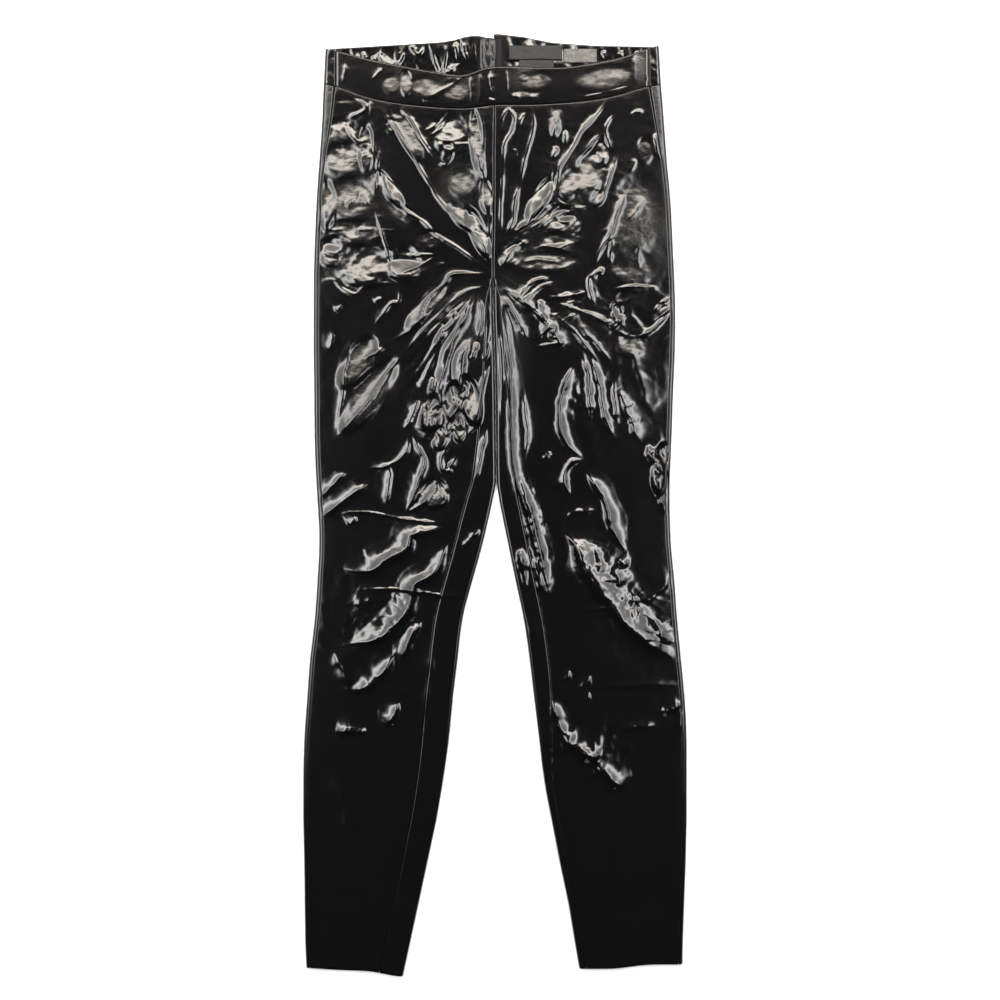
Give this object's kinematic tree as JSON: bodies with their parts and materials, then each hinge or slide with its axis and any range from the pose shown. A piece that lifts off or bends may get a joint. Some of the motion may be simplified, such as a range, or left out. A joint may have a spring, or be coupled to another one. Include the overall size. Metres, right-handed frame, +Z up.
{
  "type": "leather trousers",
  "caption": "High-waisted skinny trousers in black patent leather, laid flat on their back with the front up, with an elasticated back waist and a centre-back zip.",
  "frame": {"origin": "middle of the rectangle that the trousers cover, on the surface they lie on", "axes": "+Z up from the surface, +Y from the hems to the waist, +X towards the wearer's left leg"},
  "size_m": [0.404, 0.9931, 0.0142],
  "materials": {
    "patent_leather": "black patent coating, mirror gloss",
    "zip_tape": "woven matt tape",
    "zip_metal": "black lacquered metal and nylon coil",
    "label_black": "woven satin ribbon",
    "label_grey": "smooth printed-ribbon cloth, bare"
  },
  "bodies": {
    "trousers": {"front_right": "patent_leather", "front_left": "patent_leather", "back_right": "patent_leather", "back_left": "patent_leather", "waistband_front": "patent_leather", "waistband_back_right": "patent_leather", "waistband_back_left": "patent_leather", "zip_tape_right": "zip_tape", "zip_tape_left": "zip_tape", "zip_guard": "zip_tape", "zip_chain": "zip_metal", "zip_slider": "zip_metal", "label_main": "label_black", "label_size": "label_black", "label_care": "label_grey"},
    "pull_tab": {"zip_pull": "zip_metal"}
  },
  "joints": [
    {"name": "pull_tab_hinge", "type": "hinge", "parent": "trousers", "child": "pull_tab", "pos_m": [-0.005, 0.4792, 0.0006], "axis": [1, 0, 0], "range_deg": [0, 170]}
  ]
}
